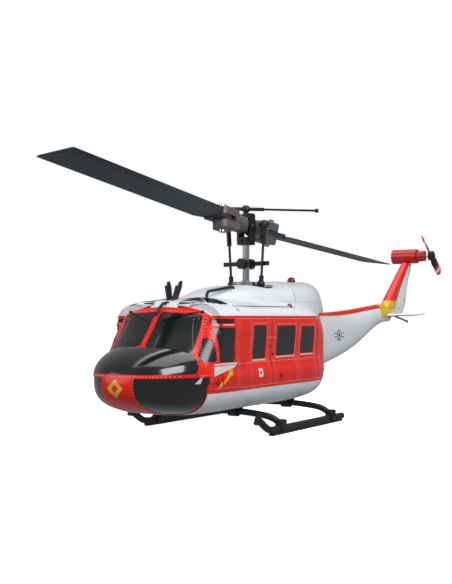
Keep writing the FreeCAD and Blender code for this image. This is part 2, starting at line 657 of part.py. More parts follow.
servo_angles = {"front": 270.0, "left": 30.0, "right": 150.0}
servo_reach = 9.8           # lower swash balls from the mast
servo_arm = 8.0
servo_axis_z = 57.2
swash_ball_z = swash_z - 3.4
arm_ball_r = 0.9
cup_r = 2.1
low_ring = tube(7.6, 6.4, (0, 0, swash_z - 4.8), (0, 0, swash_z - 0.6))
up_ring = tube(7.2, 5.2, (0, 0, swash_z - 0.2), (0, 0, swash_z + 2.4))
for deg in servo_angles.values():
    low_ring = low_ring.fuse(cyl(0.8, polar(7.0, deg, swash_ball_z), polar(servo_reach, deg, swash_ball_z)))
    low_ring = low_ring.fuse(ball(1.3, polar(servo_reach, deg, swash_ball_z)))
guide_deg, guide_reach = 90.0, 15.4
low_ring = low_ring.fuse(cyl(0.7, polar(7.0, guide_deg, swash_ball_z), polar(guide_reach + 1.8, guide_deg, swash_ball_z)))
keep("swash_lower", low_ring)
up_ring = up_ring.fuse(tube(6.4 - run_gap, 4.0, (0, 0, swash_z - 4.4), (0, 0, swash_z)))
up_ring = up_ring.fuse(ball(4.6, (0, 0, swash_z - 1.2)))
up_ring = up_ring.cut(cyl(shaft_d / 2.0 + 0.06, (0, 0, 60), (0, 0, 80)))
link_ball_z = swash_z + 1.2
for s in (-1, 1):
    up_ring = up_ring.fuse(cyl(0.8, (s * 6.8, 0, link_ball_z), (s * link_low_reach, 0, link_ball_z)))
    up_ring = up_ring.fuse(ball(ball_d / 2.0, (s * link_low_reach, 0, link_ball_z)))
keep("swash_upper", turned(up_ring, -rotor_turn))

guide = box(-2.2, 2.2, guide_reach - 1.2, guide_reach + 1.2, deck_high + frame_plate_t, swash_z - 0.2)
guide = guide.cut(box(-0.8, 0.8, guide_reach - 3, guide_reach + 3, swash_ball_z - 2.4, swash_z + 3))
chassis = largest(chassis.fuse(guide))

cases = []
rods = []
for name, deg in servo_angles.items():
    case = box(12.6, 20.6, servo_arm - 3.0, servo_arm + 4.0, deck_high + frame_plate_t, servo_axis_z + 2.6)
    case = case.fuse(box(13.6, 19.6, servo_arm - 5.0, servo_arm + 5.6, deck_high + frame_plate_t, deck_high + 3.0))
    case = case.cut(cyl(0.8 + run_gap, (12, servo_arm, servo_axis_z), (16, servo_arm, servo_axis_z)))
    cases.append(turned(case, deg))
    arm = cyl(1.7, (11.2, servo_arm, servo_axis_z), (12.2, servo_arm, servo_axis_z))
    arm = arm.fuse([box(11.2, 12.2, -0.9, servo_arm, servo_axis_z - 0.9, servo_axis_z + 0.9),
                    cyl(0.8, (11.4, servo_arm, servo_axis_z), (15.6, servo_arm, servo_axis_z)),
                    cyl(0.5, (servo_reach, 0, servo_axis_z), (11.6, 0, servo_axis_z)),
                    ball(arm_ball_r, (servo_reach, 0, servo_axis_z))])
    keep("servo_arm_" + name, turned(arm, deg))
    rod = cyl(0.6, (servo_reach, 0, servo_axis_z + 1.9), (servo_reach, 0, swash_ball_z - 1.6))
    for eye_z, eye_r, half in ((servo_axis_z, 2.4, 0.7), (swash_ball_z, cup_r, 1.0)):
        rod = rod.fuse(cyl(eye_r, (servo_reach - half, 0, eye_z), (servo_reach + half, 0, eye_z)))
    rod = rod.cut(cyl(1.3 + run_gap, (servo_reach - 2, 0, swash_ball_z), (servo_reach + 2, 0, swash_ball_z)))
    rod = rod.cut(cyl(arm_ball_r + 0.5, (servo_reach - 1, 0, servo_axis_z), (servo_reach + 1, 0, servo_axis_z)))
    rods.append(turned(rod, deg))
keep("servo_cases", Part.makeCompound(cases))
keep("servo_links", Part.makeCompound(rods))

# ---------------------------------------------------------------- battery and board
battery = box(-10.5, 10.5, -74.0, -31.0, 14.6, 26.0)
battery = battery.makeFillet(2.0, [e for e in battery.Edges if abs(e.tangentAt(0).y) > 0.9])
keep("battery", battery)
tray = box(-12.0, 12.0, -75.0, -30.0, 26.1, 27.3)
tray = tray.fuse([box(x - 0.6, x + 0.6, -62.0, -34.0, 17.0, 27.0) for x in (-11.3, 11.3)])
tray = tray.fuse(box(-9.0, 9.0, -36.0, -29.0, 26.1, deck_low + frame_plate_t)).cut(battery)
chassis = largest(chassis.fuse(tray))
board = box(-11.0, 11.0, -66.0, -38.0, 27.4, 28.8)
board = board.fuse([box(-6, 2, -60, -52, 28.8, 30.0), box(-3, 4, -48, -43, 28.8, 30.4), box(5, 9, -63, -57, 28.8, 31.5)])
keep("control_board", board)

# ================================================================ rotor head
rz = rotor_height
cheek_in, cheek_out = 3.0, 4.6
block = box(-3.6, 3.6, -3.1, 3.1, 94.0, 98.0)
for s in (-1, 1):
    x0, x1 = sorted((s * cheek_in, s * cheek_out))
    block = block.fuse(box(x0, x1, -2.2, 2.2, 96.0, 109.8))
block = block.fuse(box(-cheek_out, cheek_out, -1.6, 1.6, 108.6, 110.4))
block = block.fuse(cyl(1.5, (0, 0, 110.0), (0, 0, bar_z - 1.1)))
block = block.cut(cyl(shaft_d / 2.0, (0, 0, 90.0), (0, 0, shaft_top)))
block = block.cut(cyl(0.9 + run_gap, (-8, 0, rz), (8, 0, rz)))
for s in (-1, 1):
    block = block.cut(cyl(0.7, (0, s * 4, 96.0), (0, s * 2.2, 96.0)))
bar = cyl(0.95, (-12.0, 0, 0), (12.0, 0, 0))
bar = bar.fuse([cyl(0.55, (-46.0, 0, 0), (46.0, 0, 0)), ball(1.1, (-46.6, 0, 0)), ball(1.1, (46.6, 0, 0)),
                cyl(2.1, (0, 0, -1.0), (0, 0, 1.0))])
bar_droop = 5.6
bar.rotate(V(0, 0, 0), V(0, 1, 0), bar_droop)
bar.translate(V(0, 0, bar_z))
cap = ball(2.5, (0, 0, bar_z - 0.4)).common(box(-4, 4, -4, 4, bar_z - 0.9, bar_z + 2.2))
cap = cap.fuse(cyl(2.1, (0, 0, bar_z - 1.2), (0, 0, bar_z)))
keep("stabiliser_bar", turned(bar, -rotor_turn))
keep("head_block", turned(largest(block.fuse(cap).cut(bar)), -rotor_turn))

drive_half = box(-arm_reach - 1.2, 0, -2.6, -1.05, driver_z - 1.1, driver_z + 1.1)
drive_half = drive_half.fuse(cyl(2.8, (0, -4.7, driver_z), (0, -1.0, driver_z)))
drive = drive_half.fuse([turned(drive_half, 180.0), cyl(3.2, (0, 0, driver_z - 1.7), (0, 0, driver_z + 1.7))])
drive = drive.cut(cyl(shaft_d / 2.0, (0, 0, 70), (0, 0, 95)))
keep("driver_bar", turned(drive, -rotor_turn))


def head_pose(shape, opposite=False):
    """Put a rear-side head piece in its place: other side, teeter, then blade line."""
    copy = turned(shape, 180.0) if opposite else shape.copy()
    copy.rotate(V(0, 0, rz), V(1, 0, 0), -rotor_tilt)
    copy.rotate(V(0, 0, 0), V(0, 0, 1), -rotor_turn)
    return copy


hub = cyl(2.6, (0, -2.5, rz), (0, 2.5, rz)).fuse(cyl(0.9, (-4.5, 0, rz), (4.5, 0, rz)))
hub = hub.cut(cyl(spindle_d / 2.0, (0, -5, rz), (0, 5, rz)))
keep("teeter_hub", head_pose(hub))
spindle = cyl(spindle_d / 2.0, (0, -11.6, rz), (0, 11.6, rz))
spindle = spindle.fuse([cyl(2.0, (0, 11.3, rz), (0, 12.3, rz)), cyl(2.0, (0, -12.3, rz), (0, -11.3, rz))])
keep("feathering_spindle", head_pose(spindle))


def pitched(shape):
    copy = shape.copy()
    copy.rotate(V(0, 0, rz), V(0, 1, 0), blade_pitch)
    return copy


jaw_half_gap = 1.45
plan = prism([(-4.4, 10.0, rz - 8), (4.4, 10.0, rz - 8), (5.0, bolt_r, rz - 8), (-5.0, bolt_r, rz - 8)], (0, 0, 16))
plan = plan.fuse(cyl(5.0, (0, bolt_r, rz - 8), (0, bolt_r, rz + 8)))
side = prism([(-8, 9.6, rz - 4.6), (-8, 13.2, rz - 6.0), (-8, 20.4, rz - 6.0), (-8, 24.0, rz - 4.2),
              (-8, 24.0, rz + 4.2), (-8, 20.4, rz + 6.0), (-8, 13.2, rz + 6.0), (-8, 9.6, rz + 4.6)], (16, 0, 0))
jaws = plan.common(side).common(cyl(7.0, (0, 8, rz), (0, 26, rz)))
jaws = jaws.cut(box(-8, 8, 13.2, 30, rz - jaw_half_gap, rz + jaw_half_gap))
jaws = jaws.cut(cyl(1.0, (0, bolt_r, rz - 8), (0, bolt_r, rz + 8)))
arm_plan = [(4.2, 4.4), (4.2, 10.6), (7.6, 9.8), (9.9, 5.2), (9.9, -1.3), (8.2, -1.3), (8.2, 3.4), (6.6, 4.4)]
arm = prism([(x, y, rz - 1.2) for x, y in arm_plan], (0, 0, 2.4))
arm = arm.fuse([cyl(0.7, (9.0, 0, rz), (arm_reach, 0, rz)), ball(ball_d / 2.0, (arm_reach, 0, rz))])
grip = cyl(grip_d / 2.0, (0, grip_inner_r, rz), (0, 12.8, rz)).fuse([pitched(jaws), arm])
grip = grip.cut(cyl(2.8, (0, 0, rz), (0, 12.6, rz)))
grip_bearings = [tube(2.8 - run_gap, spindle_d / 2.0, (0, y, rz), (0, y + 2.2, rz)) for y in (4.0, 8.6)]
grip_bearings += [turned(ring, 180.0) for ring in grip_bearings]
keep("grip_bearings", head_pose(Part.makeCompound(grip_bearings)))
bolt = cyl(0.95, (0, bolt_r, rz - 6.6), (0, bolt_r, rz + 6.2))
bolt = bolt.fuse([cyl(1.9, (0, bolt_r, rz + 6.0), (0, bolt_r, rz + 7.4)), cyl(1.8, (0, bolt_r, rz - 7.2), (0, bolt_r, rz - 6.0))])
bolt = bolt.cut(cyl(0.8, (0, bolt_r, rz + 6.8), (0, bolt_r, rz + 8)))


def wing_slice(r, chord, lead, thick):
    """Blade section: rounded leading edge towards -X, thin trailing edge."""
    rise = (r - 24.0) * math.tan(math.radians(blade_cone))
    pts = []
    for u, w in ((0.0, 0.0), (0.06, 0.62), (0.28, 1.0), (0.65, 0.62), (1.0, 0.06), (0.65, -0.42), (0.28, -0.72),
                 (0.06, -0.5)):
        pts.append((-lead + u * chord, r, rz + rise + w * thick / 2.0))
    return ring_wire(pts)


tip_chord = 3.0
wing = Part.makeLoft([wing_slice(24.6, 11.0, 5.4, 2.3), wing_slice(31.5, blade_chord - 0.6, blade_lead - 1.0, 2.3),
                      wing_slice(rotor_radius - blade_rake, blade_chord, blade_lead, 1.8),
                      wing_slice(rotor_radius, tip_chord, blade_lead - blade_chord + tip_chord, 0.9)], True, True)
root = cyl(4.7, (0, bolt_r, rz - 1.3), (0, bolt_r, rz + 1.3))
root = root.fuse(prism([(-4.7, bolt_r, rz - 1.3), (4.7, bolt_r, rz - 1.3), (5.6, 26.4, rz - 1.1), (-5.0, 26.4, rz - 1.1)],
                       (0, 0, 2.5)))
wing = root.fuse(wing).cut(cyl(0.95 + 0.05, (0, bolt_r, rz - 5), (0, bolt_r, rz + 5)))

upper = V(arm_reach, 0, rz)
lower = V(link_low_reach, 0, link_ball_z)
lean = (upper - lower).normalize()
link = cyl(link_d / 2.0, lower + lean * 1.2, upper - lean * 2.1)
link = link.fuse([ball(2.45, upper), cyl(1.25, upper - lean * 10.0, upper - lean * 2.0), ball(cup_r, lower),
                  cyl(1.2, lower + lean * 1.6, lower + lean * 4.4)])
link = link.cut(ball(ball_d / 2.0 + 0.55, upper)).cut(ball(ball_d / 2.0 + run_gap, lower))
link = link.cut(box(arm_reach - 5, arm_reach - 0.2, -1.2, 1.2, rz - 1.7, rz + 1.7))
link = link.cut(box(link_low_reach - 5, link_low_reach, -0.95, 0.95, link_ball_z - 0.95, link_ball_z + 0.95))
for tag, opposite in (("rear", False), ("front", True)):
    keep("grip_" + tag, head_pose(grip, opposite))
    keep("blade_bolt_" + tag, head_pose(pitched(bolt), opposite))
    keep("rotor_blade_" + tag, head_pose(pitched(wing), opposite))
    keep("pitch_link_" + tag, turned(link, -rotor_turn + (180.0 if opposite else 0.0)))


NODES["cabin_shell"] = frame_shell
NODES["nose_hood"] = hood
NODES["belly_pan"] = belly
NODES["chassis"] = chassis

# ---------------------------------------------------------------- origin: middle of the part, on the ground
overall = FreeCAD.BoundBox()
for shape in NODES.values():
    overall.add(shape.optimalBoundingBox(False, False))
shift = V(-(overall.XMin + overall.XMax) / 2.0, -(overall.YMin + overall.YMax) / 2.0, -overall.ZMin)
os.makedirs("parts", exist_ok=True)
for name, shape in NODES.items():
    if len(shape.Solids) == 1:
        shape = shape.Solids[0]
    shape = shape.copy()
    shape.translate(shift)
    shape.exportStep("parts/" + name + ".step")
print("nodes", len(NODES), "shift", round(shift.x, 4), round(shift.y, 4), round(shift.z, 4))
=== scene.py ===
import math

import bmesh
import bpy
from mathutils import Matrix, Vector
from mathutils.bvhtree import BVHTree


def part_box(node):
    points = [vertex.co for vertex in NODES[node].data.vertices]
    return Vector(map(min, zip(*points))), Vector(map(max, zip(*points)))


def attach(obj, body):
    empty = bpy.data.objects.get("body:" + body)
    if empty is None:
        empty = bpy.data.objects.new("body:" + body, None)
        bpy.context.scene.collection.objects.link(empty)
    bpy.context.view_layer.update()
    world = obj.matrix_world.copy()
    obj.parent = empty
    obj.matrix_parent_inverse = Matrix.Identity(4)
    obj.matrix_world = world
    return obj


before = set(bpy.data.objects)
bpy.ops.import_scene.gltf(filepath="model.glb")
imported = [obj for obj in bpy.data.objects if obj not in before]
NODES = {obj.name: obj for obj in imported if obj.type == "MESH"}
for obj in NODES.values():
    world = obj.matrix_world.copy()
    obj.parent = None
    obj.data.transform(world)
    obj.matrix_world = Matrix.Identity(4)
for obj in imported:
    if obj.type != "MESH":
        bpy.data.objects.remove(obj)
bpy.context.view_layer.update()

MM = 0.001
shaft_low, shaft_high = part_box("main_shaft")
MAST_Y = (shaft_low[1] + shaft_high[1]) / 2.0


def at(x, y, z):
    """Millimetres from the mast foot to metres in the frame."""
    return Vector((x * MM, MAST_Y + y * MM, z * MM))


# ---------------------------------------------------------------- materials
def tree_of(name):
    """New node material: the material, its tree and its shader."""
    mat = bpy.data.materials.new(name)
    mat.use_nodes = True
    tree = mat.node_tree
    return mat, tree, tree.nodes["Principled BSDF"]


def add(tree, kind, **values):
    """New node with its inputs or its own settings given by name."""
    node = tree.nodes.new(kind)
    for key, value in values.items():
        if key in node.inputs:
            node.inputs[key].default_value = value
        else:
            setattr(node, key, value)
    return node


def math_node(tree, operation, a, b=None, clamp=False):
    """Sum, product or other operation on sockets or numbers."""
    node = tree.nodes.new("ShaderNodeMath")
    node.operation = operation
    node.use_clamp = clamp
    for slot, value in enumerate((a, b)):
        if value is None:
            continue
        if isinstance(value, (int, float)):
            node.inputs[slot].default_value = value
        else:
            tree.links.new(value, node.inputs[slot])
    return node.outputs[0]


def mix_colour(tree, factor, a, b):
    node = tree.nodes.new("ShaderNodeMix")
    node.data_type = "RGBA"
    if isinstance(factor, (int, float)):
        node.inputs["Factor"].default_value = factor
    else:
        tree.links.new(factor, node.inputs["Factor"])
    for slot, value in ((6, a), (7, b)):
        if isinstance(value, tuple):
            node.inputs[slot].default_value = value
        else:
            tree.links.new(value, node.inputs[slot])
    return node.outputs[2]


def position(tree):
    """Place on the object in millimetres from the mast foot."""
    coord = add(tree, "ShaderNodeTexCoord")
    split = add(tree, "ShaderNodeSeparateXYZ")
    tree.links.new(coord.outputs["Object"], split.inputs[0])
    x = math_node(tree, "MULTIPLY", split.outputs[0], 1000.0)
    y = math_node(tree, "MULTIPLY", math_node(tree, "SUBTRACT", split.outputs[1], MAST_Y), 1000.0)
    z = math_node(tree, "MULTIPLY", split.outputs[2], 1000.0)
    return coord, x, y, z


def step(tree, value, edge, width=0.12):
    """0 below the edge and 1 above it, with a soft change of the given width."""
    low = math_node(tree, "SUBTRACT", value, edge - width / 2.0)
    return math_node(tree, "MULTIPLY", low, 1.0 / width, clamp=True)


def noise(tree, coord, scale, detail=3.0, rough=0.55):
    node = add(tree, "ShaderNodeTexNoise", Scale=scale, Detail=detail, Roughness=rough)
    tree.links.new(coord.outputs["Object"], node.inputs["Vector"])
    return node.outputs["Fac"]


def remap(tree, value, low, high, from_low=0.3, from_high=0.7):
    node = add(tree, "ShaderNodeMapRange")
    for slot, number in ((1, from_low), (2, from_high), (3, low), (4, high)):
        node.inputs[slot].default_value = number
    tree.links.new(value, node.inputs[0])
    return node.outputs[0]


def bump(tree, shader, height, strength, distance=0.0002):
    node = add(tree, "ShaderNodeBump", Strength=strength, Distance=distance)
    tree.links.new(height, node.inputs["Height"])
    tree.links.new(node.outputs[0], shader.inputs["Normal"])


def shade(tone, factor):
    return (tone[0] * factor, tone[1] * factor, tone[2] * factor, 1.0)


def mottle(tree, cloud, tone, low, high):
    """One paint, clouded between two depths of its tone."""
    return mix_colour(tree, remap(tree, cloud, 0.0, 1.0), shade(tone, low), shade(tone, high))


def both(tree, *masks):
    """1 where every mask is 1."""
    out = masks[0]
    for mask in masks[1:]:
        out = math_node(tree, "MULTIPLY", out, mask)
    return out


def below(tree, value, edge):
    """1 below the edge and 0 above it."""
    return math_node(tree, "SUBTRACT", 1.0, step(tree, value, edge))


def surface(name, tone, rough=0.4, metal=0.0, coat=0.0, grain=900.0, grain_bump=0.06, vary=0.10,
            rough_vary=0.06,
            specular=0.5, colour_of=None):
    """Painted or moulded surface: mottled tone, uneven gloss and fine relief."""
    mat, tree, shader = tree_of(name)
    coord, x, y, z = position(tree)
    cloud = noise(tree, coord, 55.0, 4.0)
    fine = noise(tree, coord, grain, 5.0, 0.6)
    if colour_of is None:
        base = mottle(tree, cloud, tone, 1.0 - vary, 1.0 + vary * 0.6)
    else:
        base = colour_of(tree, coord, x, y, z, cloud)
    tree.links.new(base, shader.inputs["Base Color"])
    gloss = math_node(tree, "ADD", remap(tree, cloud, rough - rough_vary, rough + rough_vary),
                      remap(tree, fine, -0.03, 0.03))
    tree.links.new(gloss, shader.inputs["Roughness"])
    shader.inputs["Metallic"].default_value = metal
    shader.inputs["Specular IOR Level"].default_value = specular
    if coat:
        shader.inputs["Coat Weight"].default_value = coat
        shader.inputs["Coat Roughness"].default_value = 0.08
    bump(tree, shader, fine, grain_bump)
    return mat


RED = (0.86, 0.016, 0.006)
WHITE = (0.86, 0.88, 0.91)
BLACK = (0.004, 0.004, 0.005)
YELLOW = (0.78, 0.50, 0.01)
BLADE_BLACK = (0.012, 0.012, 0.014)

# edges of the paint scheme, in mm from the mast foot
ROOF_EDGE = 56.6
ROOF_START = -70.5
BROW_EDGE = 60.6
KEEL_EDGE = 22.2
KEEL_START = -79.6
BAND_START, BAND_END = 172.5, 194.5
BAND_LOW, BAND_HIGH = 55.4, 67.6
MOTOR_RING = 94.2
TIP_RED, TIP_WHITE, TIP_END = 12.6, 15.8, 19.0


def cabin_colours(tree, coord, x, y, z, cloud):
    """Red shell with the white roof and the white keel strip."""
    red = mottle(tree, cloud, RED, 0.9, 1.06)
    white = mottle(tree, cloud, WHITE, 0.94, 1.0)
    roof = both(tree, step(tree, z, ROOF_EDGE), step(tree, y, ROOF_START))
    brow = step(tree, z, BROW_EDGE)
    keel = both(tree, below(tree, z, KEEL_EDGE), step(tree, y, KEEL_START))
    mask = math_node(tree, "MAXIMUM", math_node(tree, "MAXIMUM", roof, brow), keel)
    return mix_colour(tree, mask, red, white)


def boom_colours(tree, coord, x, y, z, cloud):
    """White boom with the yellow band at the fin's foot."""
    white = mottle(tree, cloud, WHITE, 0.94, 1.0)
    band = both(tree, step(tree, y, BAND_START), below(tree, y, BAND_END), step(tree, z, BAND_LOW))
    return mix_colour(tree, band, white, shade(YELLOW, 1.0))


def ridge_colours(tree, coord, x, y, z, cloud):
    """Red shaft and fin covers, yellow where they meet."""
    red = mottle(tree, cloud, RED, 0.92, 1.05)
    band = both(tree, step(tree, y, BAND_START), below(tree, z, BAND_HIGH))
    return mix_colour(tree, band, red, shade(YELLOW, 1.0))


def fin_colours(tree, coord, x, y, z, cloud):
    """White fin, yellow foot, red motor ring."""
    white = mottle(tree, cloud, WHITE, 0.92, 1.0)
    foot = both(tree, below(tree, y, BAND_END), below(tree, z, BAND_HIGH))
    with_foot = mix_colour(tree, foot, white, shade(YELLOW, 1.0))
    return mix_colour(tree, step(tree, z, MOTOR_RING), with_foot, shade(RED, 0.95))


def prop_colours(tree, coord, x, y, z, cloud):
    """Black blades with red, white and red tips."""
    hub_y, hub_z = tail_hub
    dy = math_node(tree, "SUBTRACT", y, hub_y)
    dz = math_node(tree, "SUBTRACT", z, hub_z)
    squares = math_node(tree, "ADD", math_node(tree, "MULTIPLY", dy, dy),
                        math_node(tree, "MULTIPLY", dz, dz))
    r = math_node(tree, "SQRT", squares)
    inner = mix_colour(tree, step(tree, r, TIP_RED), shade(BLADE_BLACK, 1.0), shade(RED, 0.9))
    middle = mix_colour(tree, step(tree, r, TIP_WHITE), inner, shade(WHITE, 0.9))
    return mix_colour(tree, step(tree, r, TIP_END), middle, shade(RED, 0.9))


low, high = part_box("tail_rotor")
tail_hub = ((low[1] + high[1]) / 2.0 / MM - MAST_Y / MM, (low[2] + high[2]) / 2.0 / MM)

MATS = {
    "red": surface("red_lacquer", RED, 0.30, coat=0.3, grain=1400.0, grain_bump=0.035,
                   specular=0.35, colour_of=ridge_colours),
    "cabin": surface("cabin_lacquer", RED, 0.30, coat=0.18, specular=0.35, grain=1400.0,
                     grain_bump=0.035, colour_of=cabin_colours),
    "white": surface("white_lacquer", WHITE, 0.34, coat=0.35, grain=1400.0, grain_bump=0.04,
                     vary=0.04),
    "boom": surface("boom_lacquer", WHITE, 0.34, coat=0.35, grain=1400.0, grain_bump=0.04,
                    colour_of=boom_colours),
    "fin": surface("fin_lacquer", WHITE, 0.34, coat=0.35, grain=1400.0, grain_bump=0.04,
                   colour_of=fin_colours),
    "gloss": surface("black_gloss", BLACK, 0.16, coat=0.9, grain=600.0, grain_bump=0.015,
                     vary=0.3, rough_vary=0.03),
    "window": surface("window_gloss", (0.007, 0.009, 0.009), 0.22, coat=0.5, grain=500.0,
                      grain_bump=0.012, vary=0.25),
    "green": surface("window_green", (0.02, 0.105, 0.085), 0.20, coat=0.6, grain=500.0,
                     grain_bump=0.012, vary=0.35),
    "lamp": surface("lamp_red", (0.24, 0.006, 0.01), 0.18, coat=0.8, grain=700.0, grain_bump=0.03),
    "plastic": surface("black_nylon", (0.010, 0.010, 0.011), 0.46, grain=2200.0, grain_bump=0.12,
                       vary=0.18),
    "grip": surface("brown_nylon", (0.125, 0.105, 0.105), 0.40, grain=2200.0, grain_bump=0.12,
                    vary=0.14),
    "blade": surface("slate_blade", (0.030, 0.040, 0.048), 0.45, grain=1100.0, grain_bump=0.08,
                     vary=0.16),
    "chrome": surface("ground_steel", (0.72, 0.73, 0.75), 0.16, metal=1.0, grain=2600.0,
                      grain_bump=0.03, vary=0.05),
    "steel": surface("satin_steel", (0.46, 0.46, 0.47), 0.32, metal=1.0, grain=2600.0,
                     grain_bump=0.06, vary=0.08),
    "can": surface("red_anodised", (0.62, 0.012, 0.01), 0.30, coat=0.3, grain=1500.0,
                   grain_bump=0.05),
    "alu": surface("turned_aluminium", (0.62, 0.63, 0.65), 0.26, metal=1.0, grain=1800.0,
                   grain_bump=0.05),
    "nylon": surface("natural_nylon", (0.70, 0.68, 0.60), 0.5, grain=1500.0, grain_bump=0.08),
    "brass": surface("turned_brass", (0.66, 0.46, 0.18), 0.28, metal=1.0, grain=1800.0,
                     grain_bump=0.05),
    "wrap": surface("battery_wrap", (0.02, 0.04, 0.18), 0.25, coat=0.4, grain=300.0,
                    grain_bump=0.10),
    "board": surface("solder_mask", (0.01, 0.09, 0.035), 0.35, grain=900.0, grain_bump=0.10),
    "prop": surface("tail_blade", BLADE_BLACK, 0.42, grain=1500.0, grain_bump=0.08,
                    colour_of=prop_colours),
    "rivet": surface("rivet_paint", (0.86, 0.62, 0.60), 0.42, grain=1200.0, grain_bump=0.05,
                     vary=0.05),
    "line": surface("panel_line", (0.30, 0.010, 0.008), 0.55, grain=1200.0, grain_bump=0.05),
    "seam": surface("cowl_line", (0.46, 0.47, 0.50), 0.5, grain=1200.0, grain_bump=0.05),
    "pale": surface("pale_marking", (0.82, 0.80, 0.80), 0.35, coat=0.3, grain=1200.0,
                    grain_bump=0.05),
    "yellow": surface("yellow_marking", (0.80, 0.50, 0.02), 0.38, coat=0.2, grain=1200.0,
                      grain_bump=0.05),
    "ink": surface("black_marking", (0.02, 0.02, 0.024), 0.45, grain=1200.0, grain_bump=0.05),
    # dark red: printed for the first-aid dot and the filler cap, painted shade for the step recess
    "dark_red": surface("dark_red_marking_and_recess_shade", (0.20, 0.006, 0.006), 0.4, grain=1200.0,
                        grain_bump=0.05),
    "edge": surface("blade_edge", (0.30, 0.33, 0.35), 0.4, grain=1100.0, grain_bump=0.08),
}
LOOK = {
    "cabin": ["cabin_shell"],
    "red": ["fin_cover", "shaft_cover"],
    "white": ["belly_pan", "pylon_cowl", "engine_cowl", "stabilisers"],
    "boom": ["tail_boom"],
    "fin": ["tail_fin"],
    "gloss": ["nose_hood", "chin_windows"],
    "window": ["side_windows_left", "side_windows_right", "windscreen_left", "windscreen_right"],
    "green": ["roof_windows"],
    "lamp": ["beacon", "nav_lights"],
    "grip": ["grip_rear", "grip_front"],
    "blade": ["rotor_blade_rear", "rotor_blade_front"],
    "chrome": ["main_shaft", "blade_bolt_rear", "blade_bolt_front", "tail_rotor_shaft"],
    "steel": ["feathering_spindle", "teeter_hub", "grip_bearings", "shaft_bearings", "main_motor"],
    "can": ["tail_motor"],
    "alu": ["swash_upper"],
    "nylon": ["main_gear"],
    "brass": ["pinion"],
    "wrap": ["battery"],
    "board": ["control_board"],
    "prop": ["tail_rotor"],
}
look_of = {node: key for key, nodes in LOOK.items() for node in nodes}
for node, obj in NODES.items():
    mat = MATS[look_of.get(node, "plastic")]
    obj.data.materials.clear()
    obj.data.materials.append(mat)
    for poly in obj.data.polygons:
        poly.use_smooth = True


# ---------------------------------------------------------------- laying detail on the shells
def tree_for(names):
    """Ray-cast tree over the named nodes."""
    verts, faces = [], []
    for name in names:
        mesh = NODES[name].data
        base = len(verts)
        verts += [v.co.copy() for v in mesh.vertices]
        faces += [[base + i for i in p.vertices] for p in mesh.polygons]
    return BVHTree.FromPolygons(verts, faces)


SIDE_SKIN = tree_for(["cabin_shell", "belly_pan", "side_windows_left", "side_windows_right",
                      "nose_hood",
                      "chin_windows", "windscreen_left", "windscreen_right"])
TAIL_SKIN = tree_for(["tail_boom", "tail_fin", "fin_cover"])
COWL_SKIN = tree_for(["pylon_cowl", "engine_cowl"])


def cast(skin, start, direction):
    """Place and outward normal where a ray meets the skin, or None."""
    hit, normal = skin.ray_cast(start, direction)[:2]
    if hit is None:
        return None
    if normal.dot(direction) > 0:
        normal = -normal
    return hit, normal


def on_side(y, z, side=1, skin=None):
    return cast(skin or SIDE_SKIN, at(60.0 * side, y, z), Vector((-side, 0, 0)))


def side_placer(side, skin=None):
    """Placer for one flank: 1 for the left, -1 for the right."""
    return lambda y, z: on_side(y, z, side, skin)


def on_front(x, z):
    return cast(SIDE_SKIN, at(x, -160.0, z), Vector((0, 1, 0)))


def on_top(x, y, skin=None):
    return cast(skin or SIDE_SKIN, at(x, y, 140.0), Vector((0, 0, -1)))


def new_piece(name, mesh_builder, mat, body="airframe", smooth=True):
    """Object from a mesh builder, riding on a body."""
    bm = bmesh.new()
    mesh_builder(bm)
    mesh = bpy.data.meshes.new(name)
    bmesh.ops.recalc_face_normals(bm, faces=bm.faces)
    bm.to_mesh(mesh)
    bm.free()
    obj = bpy.data.objects.new(name, mesh)
    bpy.context.scene.collection.objects.link(obj)
    mesh.materials.append(MATS[mat])
    for poly in mesh.polygons:
        poly.use_smooth = smooth
    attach(obj, body)
    return obj


def along(points, gap):
    """Evenly spaced points on a polyline."""
    out = []
    for a, b in zip(points, points[1:]):
        length = math.dist(a, b)
        n = max(1, round(length / gap))
        for k in range(n):
            t = k / n
            out.append(tuple(a[i] + (b[i] - a[i]) * t for i in range(len(a))))
    out.append(tuple(points[-1]))
    return out


def dome(bm, spot, normal, radius, height, sides=6):
    """Low rivet head standing on the skin."""
    stand = normal.to_track_quat("Z", "Y").to_matrix().to_4x4()
    stand.translation = spot
    rings = []
    for r, h in ((1.0, -0.3), (1.0, 0.25), (0.6, 0.85)):
        ring = []
        for k in range(sides):
            a = 2.0 * math.pi * k / sides
            ring.append(bm.verts.new(stand @ Vector((r * radius * math.cos(a),
                                                     r * radius * math.sin(a), h * height))))
        rings.append(ring)
    top = bm.verts.new(stand @ Vector((0, 0, height)))
    for lower, upper in zip(rings, rings[1:]):
        for k in range(sides):
            bm.faces.new((lower[k], lower[(k + 1) % sides], upper[(k + 1) % sides], upper[k]))
    for k in range(sides):
        bm.faces.new((rings[-1][k], rings[-1][(k + 1) % sides], top))
    bm.faces.new(list(reversed(rings[0])))


RIVET_HEIGHT = 0.13 * MM


def rivets(name, rows, placer, gap=1.25, radius=0.21, mat="rivet", body="airframe"):
    """Rivet heads spaced along the rows."""
    def build(bm):
        for row in rows:
            for spot in along(row, gap):
                hit = placer(*spot)
                if hit is not None:
                    dome(bm, hit[0], hit[1], radius * MM, RIVET_HEIGHT)
    return new_piece(name, build, mat, body)


